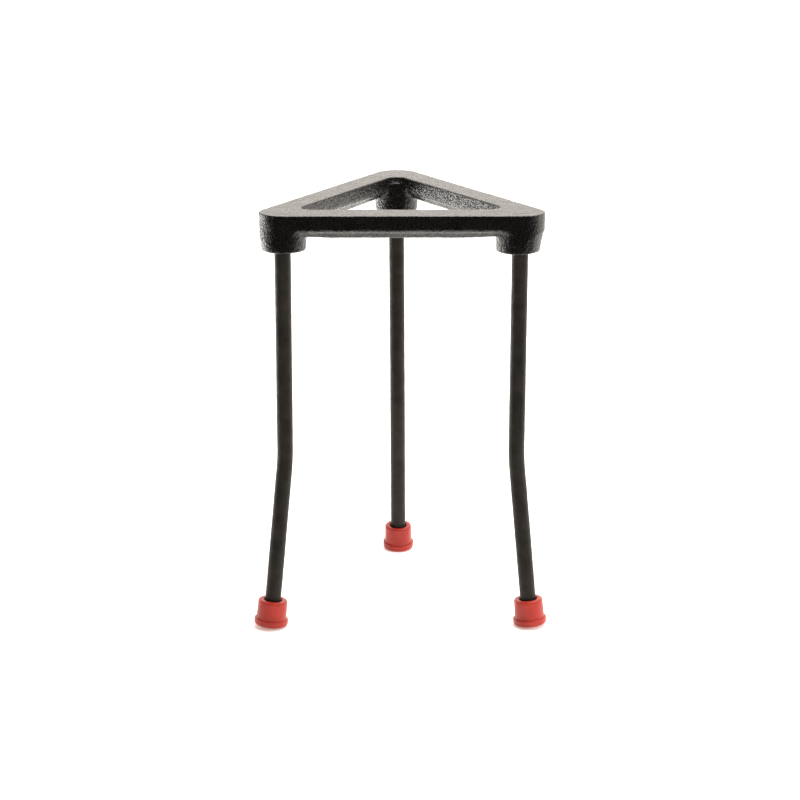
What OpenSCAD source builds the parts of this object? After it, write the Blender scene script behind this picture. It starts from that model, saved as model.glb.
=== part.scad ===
// Tripod stand for a laboratory burner: a cast triangular top with three
// bosses, three bent rod legs seated in the bosses, and a push-on foot on
// the end of each leg.
//
// The origin is on the bench, on the axis that the three legs stand around.
// +Z is up, the rear leg stands towards +Y, and the front bar of the top runs
// along X. All lengths are in millimetres.

/* [Overall] */
// Height of the top face above the bench
stand_height = 213.6; // [180:0.2:260]
// Distance between the axes of neighbouring legs, above their bends
leg_spacing = 116; // [90:1:145]

/* [Triangular top] */
// Width of the front bar, seen from above
front_bar_w = 17.4; // [13:0.2:20]
// Width of the two bars that meet at the rear, seen from above
side_bar_w = 13.2; // [12:0.2:16]
// Whole height of each bar
bar_height = 10.8; // [8.8:0.1:14]
// Height of the upright face of each bar, above its rounded lower edge
bar_face = 7.2; // [4:0.1:8]
// Radius of each bar's rounded lower edge
bar_edge_r = 2.2; // [0.8:0.1:3]
// Bevel on the edges of the top face
rim_bevel = 0.5; // [0.2:0.1:1]
// Radius of the outside corners, measured around the legs' axes
corner_r = 11.6; // [10.6:0.1:12.8]
// Radius of the inside corners of the opening
opening_r = 5.5; // [3:0.5:8]

/* [Bosses] */
// Depth of each boss's lower end below the top face
boss_depth = 18.6; // [15:0.1:24]
// Thickness of each boss around its leg, at its lower end
boss_wall = 6.5; // [4.5:0.1:7.3]
// Radius on the lower rim of each boss
boss_rim_r = 1.2; // [0.4:0.1:2]
// Radius that blends each boss into the underside of the bars
boss_blend_r = 3; // [1:0.5:4]
// Depth of the blind hole that each leg is seated in
socket_depth = 13.5; // [9:0.5:15]

/* [Legs] */
// Diameter of the rod that the legs are bent from
leg_d = 8.2; // [6:0.2:10]
// Height of the bend above the bench
bend_height = 88; // [60:1:115]
// Radius of the bend, at the middle of the rod
bend_r = 110; // [40:5:200]
// Outward slope of each leg below its bend, in degrees
flare = 6.2; // [2:0.1:10]
// How far bending draws the rod in, on its radius
bend_thinning = 0.03; // [0.02:0.01:0.1]
// Bevel on both ends of each leg
leg_bevel = 0.6; // [0.2:0.1:1]

/* [Feet] */
// Length of each foot, along its leg
foot_length = 13.3; // [10:0.1:18]
// Thickness of a foot around its leg, at its open end
foot_wall = 2.9; // [1.5:0.1:5]
// How much wider a foot is just above its flange than at its open end
foot_taper = 0.6; // [0.2:0.1:1.5]
// How far the flange stands out from the foot
flange_reach = 0.9; // [0.4:0.1:3]
// Height of the flange
flange_h = 3.4; // [2:0.1:5]
// Radius on the flange's edges
flange_edge_r = 0.7; // [0.2:0.1:1]
// Thickness of the foot below the end of the leg
foot_floor = 3; // [2:0.5:5]
// Radius on the lip around the foot's open end
foot_lip_r = 0.6; // [0.2:0.1:0.8]

/* [Fits] */
// Radial clearance around a leg in its boss
socket_fit = 0.05; // [0.02:0.01:0.2]
// Radial clearance around a leg in its foot
foot_fit = 0.05; // [0.02:0.01:0.2]

/* [Hidden] */
$fn = 96;
BLACK = [0.09, 0.085, 0.08];
STEEL_BLACK = [0.16, 0.155, 0.15];
RED = [0.72, 0.1, 0.08];
// Length that a cutting tool runs past what it cuts
OVER = 1;
// Depth that one part of the casting is sunk into the next
BITE = 1;
// Smallest step between two faces that would otherwise only just touch
SEAM = 0.05;
// Length that a bend's arc runs on into the straight rod beyond it
ARC_LAP = 0.25;

// Directions of the legs and of the front bar, seen from above
LEFT = 210;
RIGHT = 330;
REAR = 90;
FRONT = 270;
CORNERS = [LEFT, RIGHT, REAR];

leg_circle_r = leg_spacing / sqrt(3);
// Distance from the middle of the stand to the outer face of each bar
outer_apothem = leg_circle_r / 2 + corner_r;
// The posts stand a little proud of the bars' outer faces
post_r = corner_r + 2 * SEAM;
boss_end_r = leg_d / 2 + boss_wall;
// The shoulder starts just below and just behind the opening's corner
shoulder_drop = 2 * rim_bevel;

socket_r = leg_d / 2 + socket_fit;
bore_r = leg_d / 2 + foot_fit;
socket_top = stand_height - boss_depth + socket_depth;

// A foot is tilted with its leg, so it meets the bench at the inner side of
// its rounded lower edge. foot_rise is the height of its lower end's middle.
foot_top_r = leg_d / 2 + foot_wall;
body_r = foot_top_r + foot_taper / 2;
flange_r = body_r + flange_reach;
foot_rise = (flange_r - flange_edge_r) * sin(flare) + flange_edge_r * (1 - cos(flare));
// Length from the corner of the bend to the lower end of the foot
shank = (bend_height - foot_rise) / cos(flare);
// Length of rod that the bend's arc takes up on each side of that corner
bend_reach = bend_r * tan(flare / 2);
arc_overlap = asin(ARC_LAP / bend_r);

// Width of the bar that faces the given direction
function bar_w(direction) = cos(direction - FRONT) > 0 ? front_bar_w : side_bar_w;

// Width of the flat under a bar, between its two rounded lower edges
function keel_w(width) = width - 2 * bar_edge_r;

// Point that stands the given gap clear of both bars' inner faces at a corner,
// measured from the leg's axis. A setback is how far an inner face lies behind
// that axis.
function opening_point(corner, gap) =
    let (left_setback = bar_w(corner + 60) - corner_r,
         right_setback = bar_w(corner - 60) - corner_r)
        [-(left_setback + right_setback + 2 * gap),
         (right_setback - left_setback) / sqrt(3)];

// The fillet's circle bites into both faces, so that it ends on them cleanly
fillet_reach = opening_r - SEAM;

// Moves its children to each corner's leg axis, at the height of the top face,
// with +X pointing away from the middle of the stand
module at_corner(direction) {
    rotate([0, 0, direction])
        translate([leg_circle_r, 0, stand_height])
            children();
}

// Section across a bar of the given width: X is measured inwards from its
// outer face and Y is the height from the top face
module bar_section(width) {
    polygon([
        [0, -bar_face],
        [0, -rim_bevel],
        [-rim_bevel, 0],
        [rim_bevel - width, 0],
        [-width, -rim_bevel],
        [-width, -bar_face],
    ]);
    for (x = [-bar_edge_r, bar_edge_r - width])
        translate([x, -bar_face]) circle(r = bar_edge_r);
    translate([bar_edge_r - width, -bar_height])
        square([keel_w(width), bar_height - rim_bevel]);
}

// One bar, on the side that faces its direction. Its ends lie inside the posts.
module bar(direction) {
    length = leg_spacing + 2 * BITE;
    rotate([0, 0, direction])
        translate([outer_apothem, length / 2, stand_height])
            rotate([90, 0, 0])
                linear_extrude(height = length) bar_section(bar_w(direction));
}

// The round post of a corner, which its boss continues downwards. Where the
// opening reaches the post, the post's inner side is cut back above a shoulder.
module corner_post(corner) {
    corner_x = norm(opening_point(corner, fillet_reach)) - opening_r;
    cut_x = opening_point(corner, 0)[0] + BITE / 2;
    difference() {
        post_and_boss();
        if (corner_x < post_r)
            difference() {
                translate([-2 * post_r, -post_r - OVER, -bar_face])
                    cube([2 * post_r + cut_x, 2 * post_r + 2 * OVER, bar_face + OVER]);
                shoulder(corner_x - shoulder_drop / 2);
            }
    }
}

module post_and_boss() {
    rotate_extrude() {
        polygon([
            [0, 0],
            [post_r - rim_bevel, 0],
            [post_r, -rim_bevel],
            [post_r, -bar_face],
            [boss_end_r, boss_rim_r - boss_depth],
            [boss_end_r - boss_rim_r, boss_rim_r - boss_depth],
            [boss_end_r - boss_rim_r, -boss_depth],
            [0, -boss_depth],
        ]);
        translate([boss_end_r - boss_rim_r, boss_rim_r - boss_depth])
            circle(r = boss_rim_r);
    }
}

// Cone that keeps the top of a boss, sloping back to the opening's corner
module shoulder(top_r) {
    run = (post_r - top_r) / (bar_face - shoulder_drop - BITE);
    depth = bar_face + OVER;
    rotate_extrude()
        polygon([
            [0, -shoulder_drop],
            [top_r, -shoulder_drop],
            [top_r + run * (depth - shoulder_drop), -depth],
            [0, -depth],
        ]);
}

// Fillet in a corner of the opening, between the inner faces of two bars
module opening_fillet(corner) {
    middle = opening_point(corner, fillet_reach);
    root = opening_point(corner, -rim_bevel - BITE / 4);
    foot_x = fillet_reach * sin(30);
    foot_y = fillet_reach * cos(30) + BITE;
    difference() {
        translate([0, 0, -bar_face])
            linear_extrude(height = bar_face)
                polygon([root, middle + [foot_x, foot_y], middle + [foot_x, -foot_y]]);
        translate([middle[0], middle[1], -bar_face - OVER])
            cylinder(r = opening_r, h = bar_face + 2 * OVER);
        translate([middle[0], middle[1], -rim_bevel])
            cylinder(r1 = opening_r, r2 = opening_r + rim_bevel + OVER,
                     h = rim_bevel + OVER);
    }
}

// Blend between a boss and the keels of the two bars that meet over it
module boss_blend(corner) {
    centre = [post_r + boss_blend_r - SEAM, SEAM - bar_height - boss_blend_r];
    intersection() {
        rotate_extrude()
            difference() {
                translate([0, centre[1]])
                    square([centre[0], boss_blend_r + BITE]);
                translate(centre) circle(r = boss_blend_r);
            }
        for (side = [-1, 1]) {
            width = bar_w(corner - 60 * side);
            strip = keel_w(width) - 2 * SEAM;
            rotate([0, 0, 180 + 30 * side])
                translate([0, side * (corner_r - width / 2) - strip / 2, centre[1]])
                    cube([centre[0], strip, boss_blend_r + BITE]);
        }
    }
}

module triangular_top() {
    color(BLACK)
        difference() {
            union() {
                for (a = CORNERS) bar(a + 60);
                for (a = CORNERS)
                    at_corner(a) {
                        corner_post(a);
                        opening_fillet(a);
                        boss_blend(a);
                    }
            }
            for (a = CORNERS)
                at_corner(a)
                    translate([0, 0, -boss_depth - OVER])
                        cylinder(r = socket_r, h = socket_depth + OVER);
        }
}

// One leg, with its bend's corner at the origin and its foot towards +X.
// It is a rod with bevelled ends, straight above and below an arc. The bend
// draws the rod in a little, and the arc runs a short way into both stretches.
module bent_rod(above, below) {
    translate([0, 0, bend_reach]) straight_rod(above - bend_reach);
    translate([bend_r, 0, bend_reach])
        rotate([90, 0, 0])
            rotate([0, 0, 180 - arc_overlap])
                rotate_extrude(angle = flare + 2 * arc_overlap)
                    translate([bend_r, 0]) circle(r = leg_d / 2 - bend_thinning);
    rotate([0, -flare, 0])
        translate([0, 0, -bend_reach])
            mirror([0, 0, 1]) straight_rod(below - bend_reach);
}

// A straight stretch of rod, standing up from the origin, bevelled at its top
module straight_rod(length) {
    cylinder(d = leg_d, h = length - leg_bevel);
    translate([0, 0, length - leg_bevel])
        cylinder(r1 = leg_d / 2, r2 = leg_d / 2 - leg_bevel, h = leg_bevel);
}

module leg(direction) {
    color(STEEL_BLACK)
        rotate([0, 0, direction])
            translate([leg_circle_r, 0, bend_height])
                bent_rod(socket_top - bend_height, shank - foot_floor);
}

// Half of a foot's outline, with its lower end's middle at the origin
module foot_profile() {
    lip_y = foot_length - foot_lip_r;
    lip_x = foot_top_r - foot_lip_r;
    translate([lip_x, lip_y]) circle(r = foot_lip_r);
    polygon([
        [0, flange_h - flange_edge_r],
        [body_r, flange_h - flange_edge_r],
        [foot_top_r, lip_y],
        [lip_x, lip_y],
        [lip_x, foot_length],
        [0, foot_length],
    ]);
    square([flange_r - flange_edge_r, flange_h]);
    translate([0, flange_edge_r])
        square([flange_r, flange_h - 2 * flange_edge_r]);
    for (y = [flange_edge_r, flange_h - flange_edge_r])
        translate([flange_r - flange_edge_r, y]) circle(r = flange_edge_r);
}

// A foot is a cap with a blind bore, seated on the end of its leg
module foot(direction) {
    color(RED)
        rotate([0, 0, direction])
            translate([leg_circle_r, 0, bend_height])
                rotate([0, -flare, 0])
                    translate([0, 0, -shank])
                        difference() {
                            rotate_extrude()
                                intersection() {
                                    foot_profile();
                                    square([flange_r, foot_length]);
                                }
                            translate([0, 0, foot_floor])
                                cylinder(r = bore_r, h = foot_length);
                            translate([0, 0, foot_length - foot_lip_r])
                                cylinder(r1 = bore_r, r2 = bore_r + foot_lip_r + OVER,
                                         h = foot_lip_r + OVER);
                        }
}

module left_leg() leg(LEFT);
module right_leg() leg(RIGHT);
module rear_leg() leg(REAR);
module left_foot() foot(LEFT);
module right_foot() foot(RIGHT);
module rear_foot() foot(REAR);

triangular_top();
left_leg();
right_leg();
rear_leg();
left_foot();
right_foot();
rear_foot();
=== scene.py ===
"""A laboratory tripod stand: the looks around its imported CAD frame.

The casting, the bent legs and the moulded feet are each rebuilt as a finer
mesh that stands for its CAD node. Shapes are worked out in millimetres, in the
CAD's own frame, and become metres when the mesh is made. The front bar is
towards -Y and the rear leg towards +Y.
"""

import math

import bpy
import numpy as np
from mathutils import Matrix, Vector


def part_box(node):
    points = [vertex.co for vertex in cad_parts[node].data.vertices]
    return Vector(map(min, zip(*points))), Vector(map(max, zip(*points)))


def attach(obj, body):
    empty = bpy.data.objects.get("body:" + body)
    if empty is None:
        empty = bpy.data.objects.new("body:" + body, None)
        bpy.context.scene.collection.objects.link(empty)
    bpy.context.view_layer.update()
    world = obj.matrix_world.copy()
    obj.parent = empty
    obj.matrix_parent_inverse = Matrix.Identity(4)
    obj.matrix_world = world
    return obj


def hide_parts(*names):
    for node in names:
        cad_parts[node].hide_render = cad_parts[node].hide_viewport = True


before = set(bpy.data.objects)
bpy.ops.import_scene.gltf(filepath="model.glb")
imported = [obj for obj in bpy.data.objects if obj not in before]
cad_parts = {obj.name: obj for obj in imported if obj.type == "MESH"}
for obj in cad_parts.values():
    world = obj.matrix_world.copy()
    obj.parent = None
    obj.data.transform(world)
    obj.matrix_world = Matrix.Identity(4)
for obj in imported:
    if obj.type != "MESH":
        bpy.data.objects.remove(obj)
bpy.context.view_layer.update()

MM = 0.001

# The stand's sizes, in millimetres, as its CAD has them
top_low, top_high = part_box("triangular_top")
TOP_Z = top_high.z / MM
LEG_SPACING = 116.0
LEG_CIRCLE = LEG_SPACING / math.sqrt(3)
LEG_R = 4.1
BEND_Z = 88.0
BEND_R = 110.0
FLARE = math.radians(6.2)
CORNER_R = 11.6
FRONT_BAR_W = 17.4
SIDE_BAR_W = 13.2
SOCKET_ROOF = TOP_Z - 5.1
ROD_GAP = 0.12
CORNERS = {"left": 210.0, "right": 330.0, "rear": 90.0}
# The rear leg leans: how far right it stands at the bench, and how much that
# changes by the top
REAR_FOOT_OFFSET = 0.75
REAR_LEAN = 1.8


# ---------------------------------------------------------------- mesh tools

def leg_axis(name):
    """Where a leg's axis meets the plane, seen from above."""
    a = math.radians(CORNERS[name])
    return np.array([LEG_CIRCLE * math.cos(a), LEG_CIRCLE * math.sin(a)])


def rear_lean(z):
    """How far right of its CAD place the rear leg stands at height z."""
    return REAR_FOOT_OFFSET - REAR_LEAN * z / TOP_Z


def value_noise(points, seed):
    """Smooth noise from -1 to 1 with a wavelength of about two units."""
    cell = np.floor(points).astype(np.int64)
    f = points - cell
    f = f * f * (3 - 2 * f)
    total = np.zeros(len(points))
    for dx in (0, 1):
        for dy in (0, 1):
            for dz in (0, 1):
                h = ((cell[:, 0] + dx) * 73856093 ^ (cell[:, 1] + dy) * 19349663
                     ^ (cell[:, 2] + dz) * 83492791 ^ seed * 40503) & 0xFFFFFFFF
                h = ((h ^ (h >> 13)) * 1274126177) & 0xFFFFFFFF
                value = ((h ^ (h >> 16)) & 0xFFFF) / 32767.5 - 1
                weight = (np.where(dx, f[:, 0], 1 - f[:, 0])
                          * np.where(dy, f[:, 1], 1 - f[:, 1])
                          * np.where(dz, f[:, 2], 1 - f[:, 2]))
                total += value * weight
    return total


def smooth_step(x, low, high):
    t = np.clip((x - low) / (high - low), 0, 1)
    return t * t * (3 - 2 * t)


def make_object(name, points, faces, node, material):
    """A smooth-shaded piece from points in millimetres, standing for a node."""
    mesh = bpy.data.meshes.new(name)
    mesh.from_pydata((np.asarray(points) * MM).tolist(), [], faces)
    mesh.validate()
    mesh.polygons.foreach_set("use_smooth", [True] * len(mesh.polygons))
    mesh.update()
    piece = bpy.data.objects.new(name, mesh)
    bpy.context.scene.collection.objects.link(piece)
    mesh.materials.append(material)
    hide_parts(node)
    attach(piece, "root")
    return piece


# ------------------------------------------------------------- the casting

def round_max(a, b, r):
    """Overlap of two solids, with its convex edge rounded to radius r."""
    return (np.minimum(np.maximum(a, b), -r)
            + np.hypot(np.maximum(a + r, 0), np.maximum(b + r, 0)))


def smooth_min(a, b, k):
    """Union of two solids, with a fillet of about k where they meet."""
    h = np.maximum(k - np.abs(a - b), 0) / k
    return np.minimum(a, b) - h * h * k / 4


def triangle_distance(p, corners):
    """Signed distance in the plane to a triangle, negative inside it."""
    nearest = np.full(len(p), np.inf)
    inside = np.ones(len(p), bool)
    for i in range(3):
        a, b = corners[i], corners[(i + 1) % 3]
        e = b - a
        w = p - a
        t = np.clip(w @ e / (e @ e), 0, 1)
        nearest = np.minimum(nearest, ((w - t[:, None] * e) ** 2).sum(1))
        inside &= (e[0] * w[:, 1] - e[1] * w[:, 0]) > 0
    return np.where(inside, -1, 1) * np.sqrt(nearest)


# The casting is a little uneven: its corners are off the legs' axes
CORNER_SHIFT = {"left": (0.15, 0.4), "right": (0.45, 0.4), "rear": (-0.6, 2.2)}
OUTLINE = np.array([leg_axis(n) + CORNER_SHIFT[n] for n in ("left", "right", "rear")])
OPENING_R = 5.6
REAR_OPENING_SHIFT = (-1.0, 0.8)


def opening_corners():
    """The opening's corners, before they are rounded to OPENING_R."""
    apothem = LEG_CIRCLE / 2 + CORNER_R
    front = FRONT_BAR_W - apothem + OPENING_R
    side = apothem - SIDE_BAR_W - OPENING_R
    half = (side - front / 2) / math.cos(math.radians(30))
    shift_x, shift_y = REAR_OPENING_SHIFT
    return np.array([[-half, front], [half, front], [shift_x, 2 * side + shift_y]])


OPENING = opening_corners()

# Section of a bar: a broad round under its faces, and a keel below that
DRAFT = 0.012
TOP_EDGE_R = 0.45
BAR_DEPTH = 8.9
BAR_ROUND = 3.0
KEEL_DEPTH = 11.55
KEEL_INSET = 2.6
KEEL_SLOPE = (0.77, 0.64)
KEEL_BELLY = 0.8

# Each boss: how deep it ends, its radius there, and how far its end is off the
# leg's axis, as the photograph shows them
BOSSES = {
    "left": (18.8, 11.1, (0.5, 0.0)),
    "right": (19.6, 10.9, (-1.2, 0.1)),
    "rear": (18.9, 11.1, (-0.8, 0.0)),
}


def casting_distance(p):
    """Approximate signed distance to the cast top, in millimetres."""
    xy, depth = p[:, :2], TOP_Z - p[:, 2]
    draft = DRAFT * depth
    outer = triangle_distance(xy, OUTLINE) - CORNER_R
    ring = np.maximum(outer, OPENING_R - triangle_distance(xy, OPENING)) + draft
    near_leg = np.min([np.hypot(*(xy - leg_axis(n)).T) for n in CORNERS], axis=0)
    block = round_max(round_max(ring, -depth, TOP_EDGE_R), depth - BAR_DEPTH, BAR_ROUND)
    keel_end = KEEL_DEPTH + KEEL_BELLY * smooth_step(near_leg, 8, 28) - 0.35
    keel_side = KEEL_SLOPE[0] * (ring + KEEL_INSET) + KEEL_SLOPE[1] * (depth - 8.8)
    keel = round_max(keel_side, depth - keel_end, 0.5)
    solid = smooth_min(block, np.maximum(keel, ring + 0.6), 0.6)
    for name, (end, end_r, shift) in BOSSES.items():
        t = np.clip(depth / end, 0, 1)[:, None]
        middle = leg_axis(name) + (1 - t) * np.array(CORNER_SHIFT[name]) + t * np.array(shift)
        rho = np.hypot(*(xy - middle).T)
        radius = np.interp(depth, [0.8, 3.5, 9.0, end - 1.2], [9.4, 12.0, 11.9, end_r])
        boss = round_max(rho - radius, depth - end, 1.1)
        solid = smooth_min(solid, np.maximum(boss, 0.8 - depth), 2.6)
    solid = np.maximum(solid, np.maximum(outer + draft, -depth))
    for name in CORNERS:
        off = xy - leg_axis(name)
        if name == "rear":
            off[:, 0] -= rear_lean(p[:, 2])
        rho = np.hypot(*off.T)
        hole = np.maximum(rho - LEG_R - ROD_GAP, TOP_Z - SOCKET_ROOF - 0.1 - depth)
        solid = round_max(solid, -hole, 0.35)
    return solid


def surface_net(field, low, step):
    """Points and quads of the zero surface of a field sampled on a grid."""
    shape = np.array(field.shape) - 1
    total = np.zeros((*shape, 3))
    count = np.zeros(shape)
    crossings = []
    for axis in range(3):
        u, v = (axis + 1) % 3, (axis + 2) % 3
        a = np.take(field, range(field.shape[axis] - 1), axis)
        b = np.take(field, range(1, field.shape[axis]), axis)
        node = np.argwhere((a < 0) != (b < 0))
        fa, fb = a[tuple(node.T)], b[tuple(node.T)]
        place = node.astype(float)
        place[:, axis] += fa / (fa - fb)
        ring = []
        for du, dv in ((0, 0), (-1, 0), (-1, -1), (0, -1)):
            cell = node.copy()
            cell[:, u] += du
            cell[:, v] += dv
            np.add.at(total, tuple(cell.T), place)
            np.add.at(count, tuple(cell.T), 1)
            ring.append(cell)
        crossings.append((ring, fa < 0))
    used = count > 0
    index = np.full(shape, -1)
    index[used] = np.arange(used.sum())
    points = low + step * total[used] / count[used][:, None]
    quads = []
    for ring, outward in crossings:
        quad = np.stack([index[tuple(c.T)] for c in ring], 1)
        quads.append(np.where(outward[:, None], quad, quad[:, ::-1]))
    return points, np.concatenate(quads)


def slope(p):
    """The casting's distance at each point, and which way it grows."""
    step = 0.05
    way = np.stack([casting_distance(p + step * e) - casting_distance(p - step * e)
                    for e in np.eye(3)], 1) / (2 * step)
    return casting_distance(p), way


def cast_top(material):
    step = 0.52
    margin = 6 * step
    low = np.array([*top_low]) / MM - margin
    high = np.array([*top_high]) / MM + margin
    axes = [np.arange(a, b, step) for a, b in zip(low, high)]
    grid = np.stack(np.meshgrid(*axes, indexing="ij"), -1).reshape(-1, 3)
    field = casting_distance(grid).reshape([len(a) for a in axes])
    points, quads = surface_net(field, low, step)
    for _ in range(3):
        d, way = slope(points)
        points -= (d / np.maximum((way ** 2).sum(1), 0.2))[:, None] * way
    way = slope(points)[1]
    way /= np.maximum(np.linalg.norm(way, axis=1), 1e-6)[:, None]
    # Sand-cast skin: slow waves, lumps, and grains as fine as the mesh holds.
    # The seats of the legs are left true.
    lumps = (0.16 * value_noise(points / 9, 1) + 0.075 * value_noise(points / 2.6, 2)
             + 0.05 * value_noise(points / 1.1, 3))
    clear = np.min([np.hypot(*(points[:, :2] - leg_axis(n)).T) for n in CORNERS], axis=0)
    lumps = (lumps - 0.12) * smooth_step(clear, LEG_R + 0.3, LEG_R + 2)
    flat = smooth_step(way[:, 2], 0.7, 0.95)
    lumps = np.where(lumps > 0, lumps * (1 - flat), lumps * (1 - 0.45 * flat))
    points += lumps[:, None] * way
    return make_object("cast_top", points, quads.tolist(),
                       "triangular_top", material)


# ------------------------------------------------------- the legs and feet

FOOT_LENGTH = 13.3
FOOT_FLOOR = 3.0
FOOT_TOP_R = 7.15
FOOT_R = 7.3
FLANGE_R = 8.3
FLANGE_H = 3.4
# How much wider each cap is than its moulded outline
SWELL = {"left": 0.35, "right": 0.25, "rear": 0.15}
FOOT_RISE = (FLANGE_R - 0.7) * math.sin(FLARE) + 0.7 * (1 - math.cos(FLARE))
SHANK = (BEND_Z - FOOT_RISE) / math.cos(FLARE)
DOWN = np.array([math.sin(FLARE), 0, -math.cos(FLARE)])


def place_leg(points, name):
    """From a leg's own frame, with +X outwards and its axis at the origin."""
    a = math.radians(CORNERS[name])
    turn = np.array([[math.cos(a), -math.sin(a), 0], [math.sin(a), math.cos(a), 0], [0, 0, 1]])
    points = points @ turn.T + [*leg_axis(name), 0]
    if name == "rear":
        points[:, 0] += rear_lean(points[:, 2])
    return points


def rings_to_faces(rings, around):
    """Quads between rings of points, and a flat cap on each end."""
    faces = []
    for i in range(rings - 1):
        for j in range(around):
            k = (j + 1) % around
            faces.append([i * around + j, (i + 1) * around + j,
                          (i + 1) * around + k, i * around + k])
    faces.append(list(range(around)))
    faces.append([(rings - 1) * around + j for j in reversed(range(around))])
    return faces


def leg(name, material, seed):
    """A bent rod, from its socket's roof to its foot's blind floor."""
    around, step = 56, 0.55
    reach = BEND_R * math.tan(FLARE / 2)
    start_z = SOCKET_ROOF - 0.05
    upper = start_z - BEND_Z - reach
    arc = BEND_R * FLARE
    lower = SHANK - FOOT_FLOOR - 0.05 - reach
    length = upper + arc + lower
    s = np.linspace(0, length, int(length / step))
    angle = np.clip((s - upper) / arc, 0, 1) * FLARE
    x = BEND_R * (1 - np.cos(angle)) + np.maximum(s - upper - arc, 0) * math.sin(FLARE)
    z = (start_z - np.minimum(s, upper) - BEND_R * np.sin(angle)
         - np.maximum(s - upper - arc, 0) * math.cos(FLARE))
    turn = np.linspace(0, 2 * math.pi, around, endpoint=False)
    side = np.stack([np.cos(angle), np.zeros_like(s), np.sin(angle)], 1)
    centre = np.stack([x, np.zeros_like(s), z], 1)
    out = (side[:, None] * np.cos(turn)[None, :, None]
           + np.array([0, 1, 0]) * np.sin(turn)[None, :, None])
    base = centre[:, None] + out * LEG_R
    flat = base.reshape(-1, 3)
    # The enamel's thickness wanders, and the bend flattens the rod a little
    skin = (0.035 * value_noise(flat / 1.3 + seed * 31, seed)
            + 0.05 * value_noise(flat / 6 + seed * 17, seed + 7)).reshape(len(s), around)
    bend = smooth_step(s, upper - 8, upper + 3) - smooth_step(s, upper + arc - 3, upper + arc + 8)
    skin -= 0.06 * bend[:, None] * np.abs(np.cos(turn))[None]
    # A bead of enamel where the rod leaves its boss
    depth = TOP_Z - z
    end = BOSSES[name][0]
    skin += (0.22 * np.exp(-((depth - end - 0.1) / 0.5) ** 2))[:, None]
    hidden = smooth_step(depth, end - 1.5, end - 0.4) - smooth_step(
        s, length - FOOT_LENGTH + FOOT_FLOOR + 1, length - FOOT_LENGTH + FOOT_FLOOR + 2)
    skin = (skin - 0.03) * hidden[:, None] - 0.02
    bevel = np.maximum(0.6 - np.minimum(s, length - s), 0)
    points = base + out * (skin - bevel[:, None])[..., None]
    points = place_leg(points.reshape(-1, 3), name)
    return make_object(f"{name}_rod", points, rings_to_faces(len(s), around),
                       f"{name}_leg", material)


def arc_points(cx, cy, r, start, end, count=7):
    """Points on a quarter-round or other arc of a profile, angles in degrees."""
    a = np.radians(np.linspace(start, end, count))
    return [(cx + r * math.cos(t), cy + r * math.sin(t)) for t in a]


def foot_profile():
    """A foot's outline, from the middle of its underside to its blind floor."""
    axis_r, hollow, hollow_r, mouth_r = 0.4, 0.35, 5.2, 5.2
    sole, rim, root, lip, mouth = 0.9, 0.4, 0.2, 1.1, 0.6
    line = [(axis_r, hollow), (hollow_r, hollow), (hollow_r + 0.4, 0.1), (hollow_r + 0.7, 0.0)]
    line += [(FLANGE_R - sole, 0.0)]
    line += arc_points(FLANGE_R - sole, sole, sole, -75, 0)
    line += arc_points(FLANGE_R - rim, FLANGE_H - rim, rim, 0, 85)
    line += arc_points(FOOT_R + root, FLANGE_H + root, root, 265, 190, 4)
    line += arc_points(FOOT_TOP_R - lip, FOOT_LENGTH - lip, lip, 0, 90)
    line += arc_points(mouth_r, FOOT_LENGTH - mouth, mouth, 90, 170, 5)
    line += [(LEG_R + 0.3, FOOT_LENGTH - 2 * mouth), (LEG_R + ROD_GAP, FOOT_LENGTH - 4 * mouth)]
    line += [(LEG_R + 0.06, FOOT_FLOOR + 0.3), (LEG_R - 0.2, FOOT_FLOOR), (axis_r, FOOT_FLOOR)]
    return line


def resample(line, step):
    """The same outline with no segment longer than step."""
    points = [line[0]]
    for a, b in zip(line, line[1:]):
        n = max(1, math.ceil(math.dist(a, b) / step))
        points += [(a[0] + (b[0] - a[0]) * i / n, a[1] + (b[1] - a[1]) * i / n)
                   for i in range(1, n + 1)]
    return np.array(points)


def foot(name, material, seed):
    """A moulded cap, lathed from its outline and tilted with its leg."""
    around = 112
    line = resample(foot_profile(), 0.35)
    turn = np.linspace(0, 2 * math.pi, around, endpoint=False)
    r, h = line[:, :1], line[:, 1:]
    height = np.broadcast_to(h, (len(line), around))
    shell = np.stack([r * np.cos(turn), r * np.sin(turn), height], -1)
    flat = shell.reshape(-1, 3)
    # Moulded skin: it shrank unevenly, and a parting line runs down both sides
    wave = (0.07 * value_noise(flat / 5 + seed * 13, seed)
            + 0.02 * value_noise(flat / 1.2, seed + 5))
    outside = (smooth_step(np.hypot(flat[:, 0], flat[:, 1]), 5.6, 6.4)
               * smooth_step(flat[:, 2], 0.3, 1.2))
    seam_angle = np.arctan2(flat[:, 1], flat[:, 0]) - 0.5 * seed
    seam = 0.11 * np.exp(-(np.sin(seam_angle) * 7.3 / 0.28) ** 2)
    push = (wave - 0.03 + seam + SWELL[name]) * outside
    out = np.stack([flat[:, 0], flat[:, 1], np.zeros(len(flat))], 1)
    out /= np.maximum(np.linalg.norm(out, axis=1), 1e-6)[:, None]
    points = flat + out * push[:, None]
    # Upright foot to its leg's slope, standing on the bench
    side = np.array([math.cos(FLARE), 0, math.sin(FLARE)])
    base = np.array([0, 0, BEND_Z]) + DOWN * SHANK
    points = (base + points[:, :1] * side + points[:, 1:2] * np.array([0, 1, 0])
              - points[:, 2:] * DOWN)
    faces = [f[::-1] for f in rings_to_faces(len(line), around)]
    points = place_leg(points, name)
    points[:, 2] = np.maximum(points[:, 2], 0)
    return make_object(f"{name}_cap", points, faces, f"{name}_foot", material)


# ---------------------------------------------------------------- materials

def new_material(name):
    material = bpy.data.materials.new(name)
    material.use_nodes = True
    nodes = material.node_tree.nodes
    return material, nodes, material.node_tree.links, nodes["Principled BSDF"]


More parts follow.
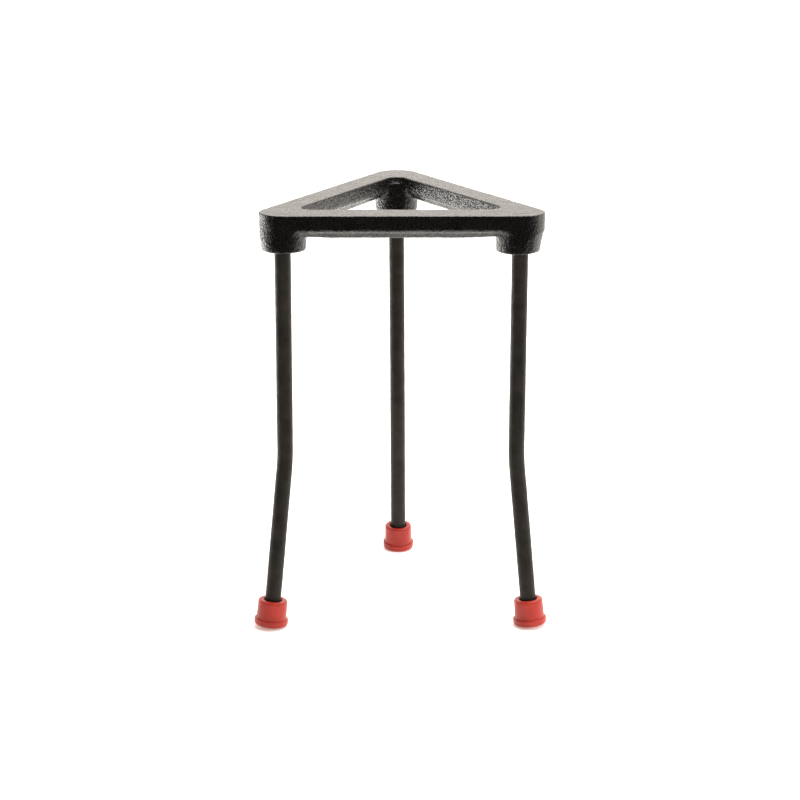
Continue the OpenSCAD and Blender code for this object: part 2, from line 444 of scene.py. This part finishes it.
def noise(nodes, links, coords, scale, detail):
    node = nodes.new("ShaderNodeTexNoise")
    node.inputs["Scale"].default_value = scale
    node.inputs["Detail"].default_value = detail
    node.inputs["Roughness"].default_value = 0.55
    links.new(coords, node.inputs["Vector"])
    return node.outputs["Fac"]


def ramp(nodes, links, source, stops):
    """A colour or grey that follows source, as (position, colour) stops."""
    node = nodes.new("ShaderNodeValToRGB")
    elements = node.color_ramp.elements
    while len(elements) < len(stops):
        elements.new(0.5)
    for element, (place, colour) in zip(elements, stops):
        element.position = place
        element.color = (*colour, 1) if isinstance(colour, tuple) else (colour,) * 3 + (1,)
    links.new(source, node.inputs["Fac"])
    return node.outputs["Color"]


def bump(nodes, links, height, distance, strength, before=None):
    node = nodes.new("ShaderNodeBump")
    node.inputs["Distance"].default_value = distance
    node.inputs["Strength"].default_value = strength
    links.new(height, node.inputs["Height"])
    if before is not None:
        links.new(before, node.inputs["Normal"])
    return node.outputs["Normal"]


def cast_enamel():
    """Black enamel over sand-cast iron: uneven, pitted, and a little dusty."""
    material, nodes, links, shader = new_material("cast_enamel")
    coords = nodes.new("ShaderNodeTexCoord").outputs["Object"]
    grain = noise(nodes, links, coords, 700, 3)
    fine = noise(nodes, links, coords, 1900, 2)
    cloud = noise(nodes, links, coords, 90, 4)
    colour = ramp(nodes, links, cloud, [(0.3, (0.003, 0.0026, 0.0023)), (0.7, (0.006, 0.0053, 0.0047))])
    links.new(colour, shader.inputs["Base Color"])
    links.new(ramp(nodes, links, grain, [(0.3, 0.20), (0.7, 0.36)]), shader.inputs["Roughness"])
    normal = bump(nodes, links, grain, 0.0005, 0.9)
    normal = bump(nodes, links, fine, 0.0002, 0.6, normal)
    links.new(normal, shader.inputs["Normal"])
    shader.inputs["IOR"].default_value = 1.52
    return material


def rod_enamel():
    """The same enamel on smooth rod, thinner and a little greyer."""
    material, nodes, links, shader = new_material("rod_enamel")
    coords = nodes.new("ShaderNodeTexCoord").outputs["Object"]
    grain = noise(nodes, links, coords, 900, 3)
    cloud = noise(nodes, links, coords, 140, 4)
    colour = ramp(nodes, links, cloud, [(0.3, (0.013, 0.0109, 0.0093)), (0.7, (0.0245, 0.021, 0.018))])
    links.new(colour, shader.inputs["Base Color"])
    links.new(ramp(nodes, links, grain, [(0.3, 0.34), (0.7, 0.46)]), shader.inputs["Roughness"])
    links.new(bump(nodes, links, grain, 0.0002, 0.5), shader.inputs["Normal"])
    shader.inputs["IOR"].default_value = 1.5
    shader.inputs["Specular IOR Level"].default_value = 0.12
    return material


def red_moulding():
    """Glossy red vinyl cap, with slight cloudiness and a faint mould texture."""
    material, nodes, links, shader = new_material("red_moulding")
    coords = nodes.new("ShaderNodeTexCoord").outputs["Object"]
    cloud = noise(nodes, links, coords, 110, 4)
    grain = noise(nodes, links, coords, 1500, 3)
    colour = ramp(nodes, links, cloud, [(0.3, (0.28, 0.016, 0.009)), (0.7, (0.41, 0.028, 0.016))])
    links.new(colour, shader.inputs["Base Color"])
    links.new(ramp(nodes, links, grain, [(0.3, 0.30), (0.7, 0.44)]), shader.inputs["Roughness"])
    links.new(bump(nodes, links, grain, 0.00012, 0.35), shader.inputs["Normal"])
    shader.inputs["IOR"].default_value = 1.5
    shader.inputs["Specular IOR Level"].default_value = 0.3
    shader.inputs["Subsurface Weight"].default_value = 0.08
    shader.inputs["Subsurface Radius"].default_value = (0.004, 0.0008, 0.0005)
    shader.inputs["Subsurface Scale"].default_value = 0.5
    return material


cast_top(cast_enamel())
rod_material, red_material = rod_enamel(), red_moulding()
for number, corner in enumerate(CORNERS, 1):
    leg(corner, rod_material, number)
    foot(corner, red_material, number + 20)


# ------------------------------------------------- floor, light and camera

def stage_plane(name, centre, size, turn=(0, 0, 0)):
    mesh = bpy.data.meshes.new(name)
    x, y = size[0] / 2, size[1] / 2
    mesh.from_pydata([(-x, -y, 0), (x, -y, 0), (x, y, 0), (-x, y, 0)], [], [(0, 1, 2, 3)])
    plane = bpy.data.objects.new(name, mesh)
    plane.location = centre
    plane.rotation_euler = turn
    bpy.context.scene.collection.objects.link(plane)
    return plane


def plain_material(name, colour, roughness):
    material, _, _, shader = new_material(name)
    shader.inputs["Base Color"].default_value = (*colour, 1)
    shader.inputs["Roughness"].default_value = roughness
    shader.inputs["Specular IOR Level"].default_value = 0.0
    return material


def white_floor():
    """A pale bench that glows a little, so that shadows on it stay faint."""
    floor = stage_plane("floor", (0, 0, -0.0002), (30, 30))
    white = plain_material("white_floor", (0.93, 0.92, 0.9), 0.9)
    glow = white.node_tree.nodes["Principled BSDF"].inputs
    glow["Emission Color"].default_value = (1.0, 0.93, 0.85, 1)
    glow["Emission Strength"].default_value = 0.3
    floor.data.materials.append(white)


def black_cards():
    """Cards on the camera's side, seen only in the stand's gloss."""
    black = plain_material("black_card", (0.01, 0.01, 0.01), 1.0)
    upright = (math.radians(90), 0, 0)
    cards = [stage_plane("upright_card", (0, -0.28, 0.7), (2.4, 1.4), upright),
             stage_plane("lying_card", (0, -0.19, 0.0005), (2.4, 0.18))]
    for card in cards:
        card.data.materials.append(black)
        for use in ("camera", "diffuse", "shadow", "transmission", "volume_scatter"):
            setattr(card, f"visible_{use}", False)


def sky():
    """White surroundings: brightest low behind the stand, dim on the camera's side."""
    world = bpy.data.worlds.new("studio")
    bpy.context.scene.world = world
    world.use_nodes = True
    nodes, links = world.node_tree.nodes, world.node_tree.links
    way = nodes.new("ShaderNodeSeparateXYZ")
    turn = nodes.new("ShaderNodeMapping")
    turn.inputs["Rotation"].default_value = (0, 0, math.radians(12))
    links.new(nodes.new("ShaderNodeTexCoord").outputs["Generated"], turn.inputs["Vector"])
    links.new(turn.outputs["Vector"], way.inputs[0])
    back = ramp(nodes, links, way.outputs["Y"], [(0.0, 1.0), (0.9, 2.0)])
    front = nodes.new("ShaderNodeMapRange")
    front.inputs["From Min"].default_value = -1.0
    front.inputs["From Max"].default_value = 0.1
    front.inputs["To Min"].default_value = 0.1
    front.inputs["To Max"].default_value = 1.0
    links.new(way.outputs["Y"], front.inputs["Value"])
    strength = nodes.new("ShaderNodeMath")
    strength.operation = "MULTIPLY"
    links.new(back, strength.inputs[0])
    links.new(front.outputs["Result"], strength.inputs[1])
    links.new(strength.outputs[0], nodes["Background"].inputs["Strength"])
    nodes["Background"].inputs["Color"].default_value = (1.0, 0.94, 0.87, 1)


def area_light(name, centre, target, size, power):
    light = bpy.data.lights.new(name, "AREA")
    light.shape = "RECTANGLE"
    light.size, light.size_y = size
    light.energy = power
    lamp = bpy.data.objects.new(name, light)
    lamp.location = centre
    lamp.rotation_euler = (Vector(target) - Vector(centre)).to_track_quat("-Z", "Y").to_euler()
    bpy.context.scene.collection.objects.link(lamp)
    return lamp


def lamps():
    """Soft light from above, a bright patch of floor, and a fill from the right."""
    area_light("overhead", (0.3, 0.2, 1.5), (0, 0, 0.1), (1.4, 1.0), 28)
    patch = area_light("left_floor", (-0.6, 0.37, 0.5), (-0.6, 0.37, 0), (0.4, 0.4), 5)
    patch.data.spread = math.radians(70)
    fill = area_light("right_fill", (0.9, -0.6, 0.6), (0, 0, 0.05), (0.5, 0.5), 6)
    fill.visible_glossy = False


def main_camera():
    """The camera that sees the stand from a little above, in front of its wide bar."""
    place = Vector((-0.01952, -1.07151, 0.42185))
    target = Vector((0.00009, 0, 0.108485))
    roll = math.radians(0.148)
    forward = (target - place).normalized()
    right = forward.cross(Vector((0, 0, 1))).normalized()
    up = right.cross(forward)
    right, up = (math.cos(roll) * right + math.sin(roll) * up,
                 math.cos(roll) * up - math.sin(roll) * right)
    camera = bpy.data.objects.new("camera", bpy.data.cameras.new("camera"))
    camera.data.sensor_width = 36
    camera.data.lens = 97.74
    camera.data.clip_start = 0.05
    camera.matrix_world = Matrix.Translation(place) @ Matrix((right, up, -forward)).transposed().to_4x4()
    bpy.context.scene.collection.objects.link(camera)
    bpy.context.scene.camera = camera


white_floor()
black_cards()
sky()
lamps()
main_camera()
bpy.context.scene.view_settings.view_transform = "Standard"
